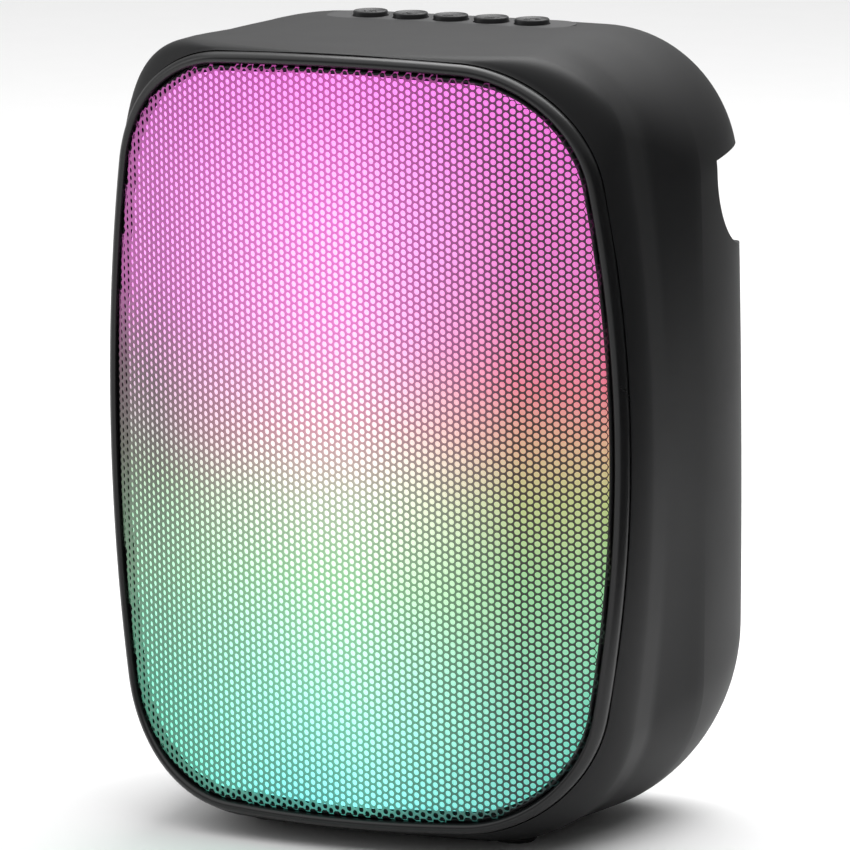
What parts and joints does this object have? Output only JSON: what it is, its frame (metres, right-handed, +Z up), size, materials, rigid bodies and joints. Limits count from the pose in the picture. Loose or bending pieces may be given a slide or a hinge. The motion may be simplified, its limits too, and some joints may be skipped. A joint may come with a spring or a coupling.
{
  "type": "party speaker",
  "caption": "Portable party speaker: bowed rectangular cabinet, perforated front over a lit diffuser, trim ring, row of round top buttons, hand grip scooped across the back",
  "frame": {"origin": "centre of the base, on the surface the speaker stands on", "axes": "+Z up, grille faces -Y, +X to the right of someone facing the grille"},
  "size_m": [0.1904, 0.12, 0.2611],
  "materials": {
    "shell": "satin moulded, fine even grain",
    "frame_black": "satin",
    "ring": "semi-gloss moulded",
    "mesh": "powder coated black, perforated",
    "opal": "opal, translucent",
    "circuit_board": "solder resist",
    "led": "opaque white with clear window",
    "baffle": "as moulded",
    "screw": "zinc plated",
    "rubber": "soft matte",
    "basket": "pressed steel, black",
    "steel": "plated",
    "magnet": "ferrite, ground faces",
    "cone": "coated paper",
    "coil": "enamelled copper winding",
    "cloth": "resin dipped weave",
    "terminal": "tinned",
    "button": "satin with moulded symbols",
    "socket": "nickel plated",
    "black_part": "moulded",
    "can": "sleeved or plated can",
    "wire": "insulated lead"
  },
  "bodies": {
    "cabinet": {"cabinet_shell": "shell", "rear_cover": "shell", "top_cover": "shell", "bezel_ring": "ring", "speaker_grille": "mesh", "front_frame": "frame_black", "light_diffuser": "opal", "led_board": "circuit_board", "led_chips": "led", "front_baffle": "baffle", "baffle_screws": "screw", "cabinet_screws": "screw", "driver_gasket": "rubber", "driver_basket": "basket", "driver_screws": "screw", "driver_top_plate": "steel", "driver_magnet": "magnet", "driver_yoke": "steel", "driver_terminals": "terminal", "driver_surround": "rubber", "driver_spider": "cloth", "button_panel": "frame_black", "button_board": "circuit_board", "tact_switches": "steel", "rear_panel": "shell", "main_board": "circuit_board", "board_screws": "screw", "usb_c_inlet": "socket", "usb_a_socket": "socket", "aux_socket": "black_part", "card_slot": "socket", "power_switch_case": "black_part", "amplifier_chip": "black_part", "radio_module": "can", "filter_capacitors": "can", "battery_cells": "can", "battery_tray": "baffle", "driver_leads": "wire", "button_leads": "wire", "led_leads": "wire", "rubber_feet": "rubber"},
    "cone_assembly": {"driver_cone": "cone", "dust_cap": "cone", "voice_coil": "coil"},
    "button_power": {"button_power": "button"},
    "button_previous": {"button_previous": "button"},
    "button_play": {"button_play": "button"},
    "button_next": {"button_next": "button"},
    "button_light": {"button_light": "button"},
    "power_switch_slider": {"power_switch_slider": "black_part"}
  },
  "joints": [
    {"name": "button_power_press", "type": "slide", "parent": "cabinet", "child": "button_power", "axis": [0, 0, -1], "range_m": [0, 0.0006], "stiffness_N_per_m": 1500},
    {"name": "button_previous_press", "type": "slide", "parent": "cabinet", "child": "button_previous", "axis": [0, 0, -1], "range_m": [0, 0.0006], "stiffness_N_per_m": 1500},
    {"name": "button_play_press", "type": "slide", "parent": "cabinet", "child": "button_play", "axis": [0, 0, -1], "range_m": [0, 0.0006], "stiffness_N_per_m": 1500},
    {"name": "button_next_press", "type": "slide", "parent": "cabinet", "child": "button_next", "axis": [0, 0, -1], "range_m": [0, 0.0006], "stiffness_N_per_m": 1500},
    {"name": "button_light_press", "type": "slide", "parent": "cabinet", "child": "button_light", "axis": [0, 0, -1], "range_m": [0, 0.0006], "stiffness_N_per_m": 1500},
    {"name": "power_switch_slide", "type": "slide", "parent": "cabinet", "child": "power_switch_slider", "axis": [1, 0, 0], "range_m": [0, 0.003]},
    {"name": "cone_travel", "type": "slide", "parent": "cabinet", "child": "cone_assembly", "axis": [0, 1, 0], "range_m": [-0.003, 0.003], "stiffness_N_per_m": 1200, "deforming": ["driver_surround", "driver_spider"]}
  ]
}
